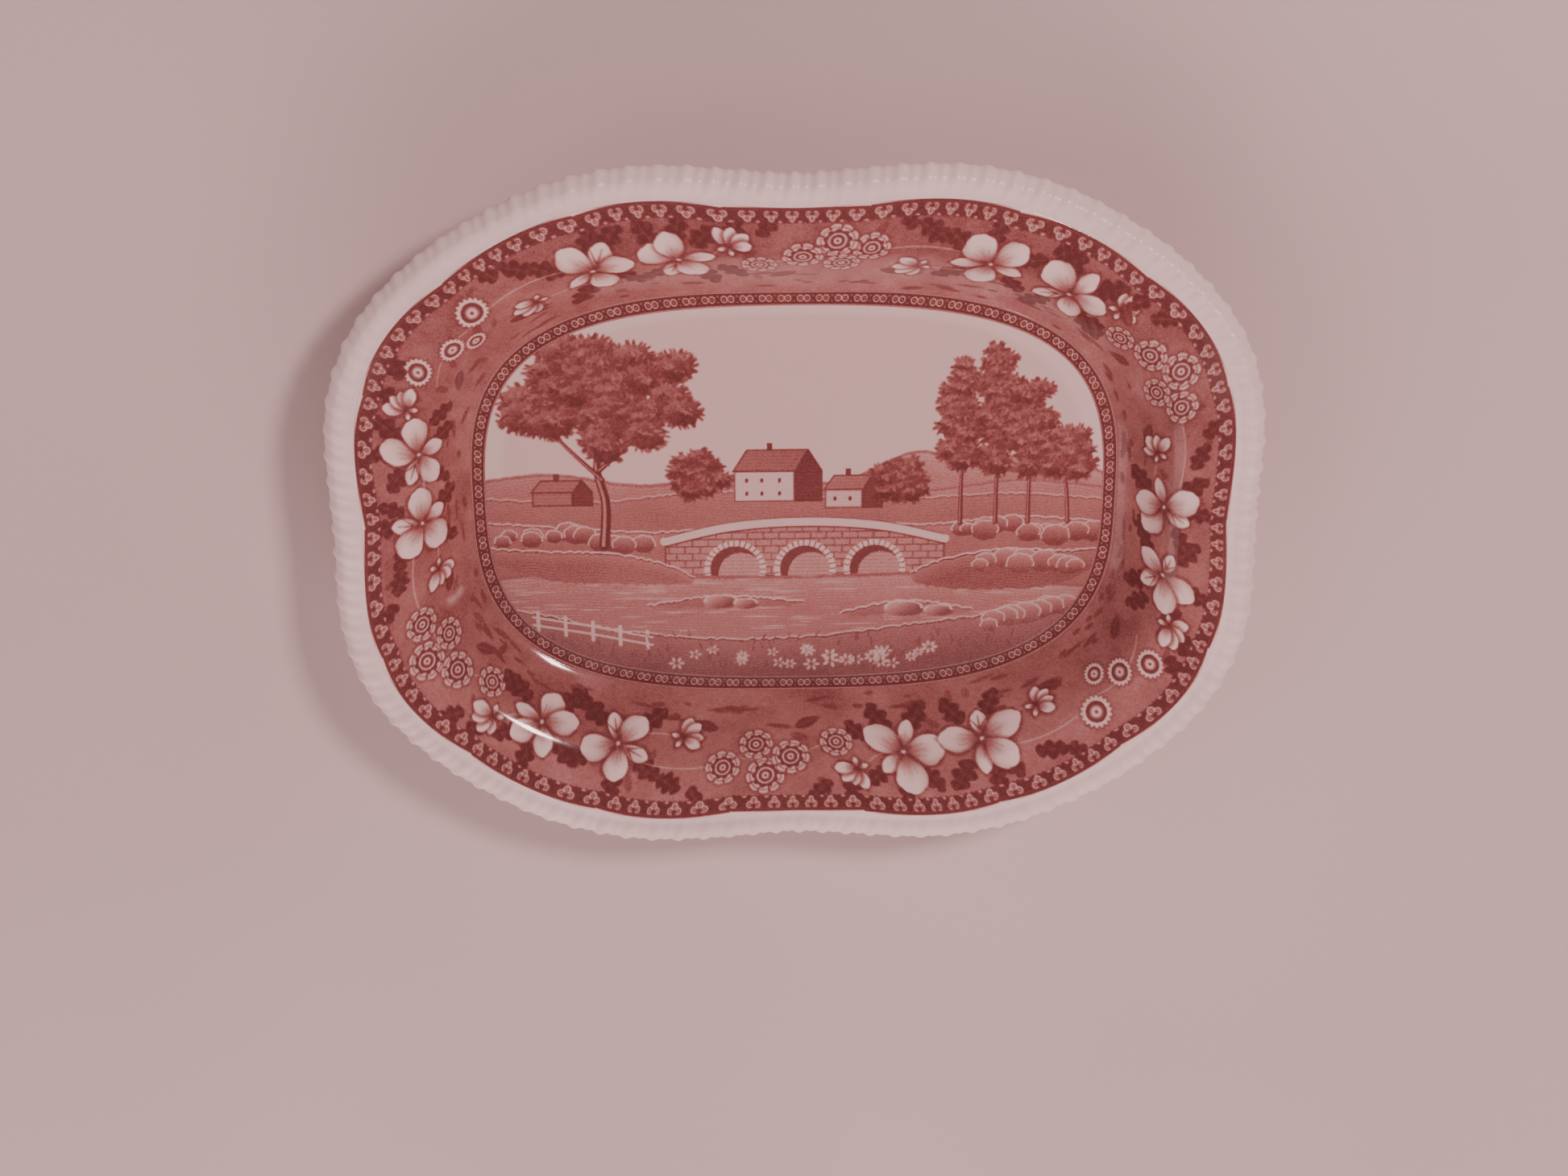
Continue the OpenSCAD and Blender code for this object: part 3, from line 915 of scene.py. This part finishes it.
def pottery_body():
    """The dish without its edge: over the face to the rim and back underneath."""
    cols = ROUND_COLUMNS
    u = angle_at(np.arange(cols) / cols)
    rings = []
    for t in np.linspace(-0.9, -0.1, 5):
        rings.append(level(well_at(u) * (1 + t), FLOOR_Z - INK_THICK))
    for t in np.linspace(0, 1, 40):
        rings.append(face_point(u, np.full(cols, t), INK_THICK))
    rings.append(level(rim_at(u), LINE_Z - BODY_THICK))
    for t in np.linspace(0.97, 0, 40):
        lean = math.atan(face_slope(t))
        under_t = min(t + BODY_THICK * math.sin(lean) / SLOPE_WIDTH, 1.0)
        rings.append(level(outline(u, np.full(cols, under_t)), face_z(t) - BODY_THICK * math.cos(lean)))
    for t in np.linspace(-0.1, -0.98, 8):
        rings.append(level(well_at(u) * (1 + t), FOOT_HEIGHT))
    # a middle point closes the floor, and another the underside
    middles = [[0, 0, FLOOR_Z - INK_THICK], [0, 0, FOOT_HEIGHT]]
    middle = len(rings) * cols
    last = middle - cols
    i = np.arange(0, cols, 2)
    floor_fan = np.stack([np.full(len(i), middle), i, i + 1, (i + 2) % cols], 1)
    under_fan = np.stack([np.full(len(i), middle + 1), last + (i + 2) % cols, last + i + 1, last + i], 1)
    quads = np.concatenate([band_quads(len(rings), cols), floor_fan, under_fan])
    return mesh_object("pottery_body", np.concatenate(rings + [middles]), quads)


def foot_ring():
    """A ring with rounded shoulders, flat where it stands."""
    cols = ROUND_COLUMNS
    u = angle_at(np.arange(cols) / cols)
    round_r = 1.2 * MM
    outer = outline(u, np.full(cols, -(WELL_HALF[0] - FOOT_HALF[0]) / SLOPE_WIDTH))
    half = [(0, FOOT_HEIGHT + 0.5 * MM), (0.1 * MM, FOOT_HEIGHT), (0.3 * MM, round_r)]
    for a in np.linspace(0, math.pi / 2, 7)[1:]:
        half.append((0.3 * MM + round_r * (1 - math.cos(a)), round_r * (1 - math.sin(a))))
    section = half + [(FOOT_WIDTH - w, z) for w, z in reversed(half)]
    inward = -(rim_at(u) - well_at(u)) / SLOPE_WIDTH
    rings = [level(outer + inward * w, z) for w, z in section]
    return mesh_object("foot_ring_turned", np.concatenate(rings), band_quads(len(rings), cols, True))


BROAD_SHARE = 0.64   # share of a flute that its broad swelling takes; the low reed has the rest


def flute_relief(phase):
    """Height across one flute, 0 to 1: a broad soft swelling and a low reed."""
    f = np.mod(phase, 1)
    broad = np.clip(f / BROAD_SHARE, 0, 1)
    reed = np.clip((f - BROAD_SHARE) / (1 - BROAD_SHARE), 0, 1)
    return np.where(f < BROAD_SHARE, 0.5 - 0.5 * np.cos(TAU * broad), 0.17 - 0.17 * np.cos(TAU * reed))


def fluted_edge():
    """The rolled white edge, a closed band whose flutes lean from root to lip."""
    cols = FLUTES * FLUTE_COLUMNS
    share = np.arange(cols) / cols
    u = angle_at(share)
    line = rim_at(u)
    half_flute = FLUTE_COLUMNS // 2
    ahead = np.roll(line, -half_flute, axis=0) - np.roll(line, half_flute, axis=0)
    out = np.stack([ahead[:, 1], -ahead[:, 0]], 1)
    out /= np.linalg.norm(out, axis=1)[:, None]
    w = EDGE_WIDTH
    drop = LINE_Z - EDGE_LIP_Z
    # points of the section: outwards, up from the printed line, share of the flute depth
    section = smooth_curve([
        (0, 0, 0), (0.10 * w, 0.05 * MM, 0.15), (0.20 * w, 0.25 * MM, 0.40), (0.32 * w, 0.80 * MM, 0.70),
        (0.48 * w, 1.15 * MM, 0.95), (0.66 * w, 0.75 * MM, 1.0), (0.82 * w, -0.10 * drop, 1.0),
        (0.94 * w, -0.34 * drop, 1.0), (0.995 * w, -0.62 * drop, 1.0), (0.96 * w, -0.86 * drop, 0.8),
        (0.84 * w, -0.985 * drop, 0.4), (0.6 * w, -0.93 * drop, 0.1), (0.3 * w, -0.78 * drop, 0),
        (0, -BODY_THICK, 0)], 4)
    uneven = 0.8 + 0.2 * np.sin(share * TAU * 7 + 1) * np.sin(share * TAU * 19)
    rings = []
    for reach, up, share_deep in section:
        lean = FLUTE_LEAN * reach / w
        relief = (flute_relief(share * FLUTES + lean) - 1) * FLUTE_DEPTH * share_deep * uneven
        steep = min(1, reach / w)
        rings.append(np.concatenate([line + out * (reach + relief * steep)[:, None],
                                     (LINE_Z + up + relief * (1 - steep * 0.6))[:, None]], 1))
    return mesh_object("fluted_edge", np.concatenate(rings), band_quads(len(rings), cols, True))


# ------------------------------------------------------------------ materials
class Nodes:
    """Short hand for building a node tree."""

    def __init__(self, name):
        self.material = bpy.data.materials.new(name)
        self.material.use_nodes = True
        self.tree = self.material.node_tree
        self.shader = self.tree.nodes["Principled BSDF"]
        self.place = self.add("ShaderNodeTexCoord").outputs["Object"]

    def add(self, kind, **settings):
        node = self.tree.nodes.new(kind)
        for key, value in settings.items():
            setattr(node, key, value)
        return node

    def link(self, source, target):
        self.tree.links.new(source, target)

    def coloured(self, source):
        self.link(source, self.shader.inputs["Base Color"])

    def noise(self, scale, detail):
        node = self.add("ShaderNodeTexNoise")
        node.inputs["Scale"].default_value = scale
        node.inputs["Detail"].default_value = detail
        self.link(self.place, node.inputs["Vector"])
        return node.outputs["Fac"]

    def math(self, kind, a, b=0.0, clamp=False):
        node = self.add("ShaderNodeMath", operation=kind, use_clamp=clamp)
        for socket, value in zip(node.inputs, (a, b)):
            if isinstance(value, (int, float)):
                socket.default_value = value
            else:
                self.link(value, socket)
        return node.outputs[0]

    def ramp(self, factor, stops):
        node = self.add("ShaderNodeValToRGB")
        ramp = node.color_ramp
        while len(ramp.elements) < len(stops):
            ramp.elements.new(0.5)
        for element, (at, colour) in zip(ramp.elements, stops):
            element.position = at
            element.color = (*colour, 1)
        self.link(factor, node.inputs["Fac"])
        return node.outputs["Color"]

    def bump(self, height, strength, distance):
        node = self.add("ShaderNodeBump")
        node.inputs["Strength"].default_value = strength
        node.inputs["Distance"].default_value = distance
        self.link(height, node.inputs["Height"])
        self.link(node.outputs["Normal"], self.shader.inputs["Normal"])
        if "Coat Normal" in self.shader.inputs:
            self.link(node.outputs["Normal"], self.shader.inputs["Coat Normal"])


WARM_WHITE = (0.88, 0.75, 0.735)
PETAL_WHITE = (0.92, 0.75, 0.71)
# bare glaze of the centre print, darker than the white glaze of the body: painted shade on the floor of the
# well
WELL_WHITE_PAINTED_SHADE = (0.73, 0.60, 0.56)
SHADED_WHITE = (0.76, 0.65, 0.63)


def glaze(nodes, rough_low, rough_high, coat):
    """A thick clear glaze: glossy, slightly uneven, with pooled thickness here and there."""
    nodes.shader.inputs["IOR"].default_value = 1.5
    nodes.shader.inputs["Coat Weight"].default_value = coat
    nodes.shader.inputs["Coat Roughness"].default_value = 0.05
    spread = nodes.add("ShaderNodeMapRange")
    spread.inputs["To Min"].default_value = rough_low
    spread.inputs["To Max"].default_value = rough_high
    nodes.link(nodes.noise(60, 3), spread.inputs["Value"])
    nodes.link(spread.outputs["Result"], nodes.shader.inputs["Roughness"])
    nodes.bump(nodes.noise(34, 1), 0.22, 0.0012)


def white_glaze():
    nodes = Nodes("white_glaze")
    cloud = nodes.math("ADD", nodes.math("MULTIPLY", nodes.noise(14, 3), 0.75),
                       nodes.math("MULTIPLY", nodes.noise(420, 2), 0.25))
    nodes.coloured(nodes.ramp(cloud, [(0.30, SHADED_WHITE), (0.62, WARM_WHITE)]))
    glaze(nodes, 0.30, 0.40, 0.0)
    return nodes.material


def printed_glaze(name, bare, stops, stipple):
    """Ink amount to colour, broken up by the dots of the engraving."""
    nodes = Nodes(name)
    ink = nodes.add("ShaderNodeAttribute", attribute_name="ink").outputs["Fac"]
    dots = nodes.math("SUBTRACT", nodes.noise(1500, 1), 0.5)
    cloud = nodes.math("SUBTRACT", nodes.noise(45, 3), 0.5)
    rough_ink = nodes.math("MULTIPLY", dots, nodes.math("MULTIPLY", ink, stipple))
    patchy = nodes.math("MULTIPLY", cloud, nodes.math("MULTIPLY", ink, 0.22))
    amount = nodes.math("ADD", nodes.math("ADD", ink, rough_ink), patchy, clamp=True)
    nodes.coloured(nodes.ramp(amount, [(0.0, bare)] + stops))
    glaze(nodes, 0.09, 0.15, 0.2)
    return nodes.material


RED_INK = [
    (0.25, (0.62, 0.43, 0.40)),
    (0.50, (0.43, 0.178, 0.165)),
    (0.75, (0.235, 0.067, 0.065)),
    (1.00, (0.138, 0.036, 0.036)),
]


def stage_floor_material():
    nodes = Nodes("pale_floor")
    nodes.coloured(nodes.ramp(nodes.noise(3, 2), [(0.3, (0.62, 0.53, 0.52)), (0.7, (0.68, 0.58, 0.57))]))
    nodes.shader.inputs["Roughness"].default_value = 0.8
    return nodes.material


# ------------------------------------------------------------------ stage, lights and camera
def pale_floor():
    mesh = bpy.data.meshes.new("pale_floor")
    half = 4.0
    corners = [(-half, -half, 0), (half, -half, 0), (half, half, 0), (-half, half, 0)]
    mesh.from_pydata(corners, [], [(0, 1, 2, 3)])
    mesh.materials.append(stage_floor_material())
    new_object("pale_floor", mesh)


def aimed(obj, place, target, roll=0.0):
    forward = (Vector(target) - Vector(place)).normalized()
    right = forward.cross(Vector((0, 1, 0))).normalized()
    top = right.cross(forward)
    turned = Matrix((right, top, -forward)).transposed().to_4x4()
    obj.matrix_world = Matrix.Translation(place) @ turned @ Matrix.Rotation(roll, 4, "Z")


def area_light(name, place, width, height, watts, colour, mirrored=True):
    """A soft light aimed at the platter. A fill that isn't mirrored leaves no reflection in the glaze."""
    data = bpy.data.lights.new(name, "AREA")
    data.shape = "RECTANGLE"
    data.size = width
    data.size_y = height
    data.energy = watts
    data.color = colour
    lamp = new_object(name, data)
    lamp.visible_glossy = mirrored
    aimed(lamp, place, (0, 0, LINE_Z))


PINK_LIGHT = (1.0, 0.70, 0.70)


def lights():
    area_light("key", (0.74, 0.84, 1.25), 0.26, 0.26, 20, PINK_LIGHT)
    area_light("haze_card", (0, -0.69, 1.25), 0.75, 0.18, 0.22, (1.0, 0.80, 0.79))
    area_light("wall_card", (-1.2, -0.5, 0.62), 0.7, 0.5, 1.2, PINK_LIGHT)
    area_light("side_fill", (-1.35, -0.2, 0.9), 1.2, 1.0, 5.5, PINK_LIGHT, mirrored=False)
    area_light("front_fill", (0, -1.3, 0.6), 1.8, 0.6, 20, PINK_LIGHT, mirrored=False)
    world = bpy.data.worlds.new("room")
    world.use_nodes = True
    world.node_tree.nodes["Background"].inputs["Color"].default_value = (0.82, 0.60, 0.60, 1)
    world.node_tree.nodes["Background"].inputs["Strength"].default_value = 0.24
    bpy.context.scene.world = world


CAMERA_PLACE = Vector((-0.0206, 0.3349, 0.8801))
CAMERA_AIM = (-0.0050, -0.0261, LINE_Z)
CAMERA_ROLL = math.radians(-0.28)


def camera():
    """The photograph's viewpoint, fitted to the rim line, the floor line and the outer edge."""
    data = bpy.data.cameras.new("camera")
    data.sensor_width = 36
    data.lens = 54
    obj = new_object("camera", data)
    aimed(obj, CAMERA_PLACE, CAMERA_AIM, CAMERA_ROLL)
    bpy.context.scene.camera = obj


# ------------------------------------------------------------------ putting it together
def add_piece(piece, material, slot, *nodes):
    piece.data.materials.append(material)
    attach(piece, "root")
    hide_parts(*nodes)


camera()
lights()
pale_floor()

white = white_glaze()
add_piece(pottery_body(), white, "white_glaze", "body")
add_piece(foot_ring(), white, "white_glaze", "foot_ring")
add_piece(fluted_edge(), white, "white_glaze", "gadroon_edge")
add_piece(printed_border(), printed_glaze("floral_print", PETAL_WHITE, RED_INK, 0.5), "floral_print",
          "border_print", "outer_chain")
add_piece(printed_centre(), printed_glaze("landscape_print", WELL_WHITE_PAINTED_SHADE, RED_INK, 0.5), "landscape_print",
          "centre_print", "inner_chain")
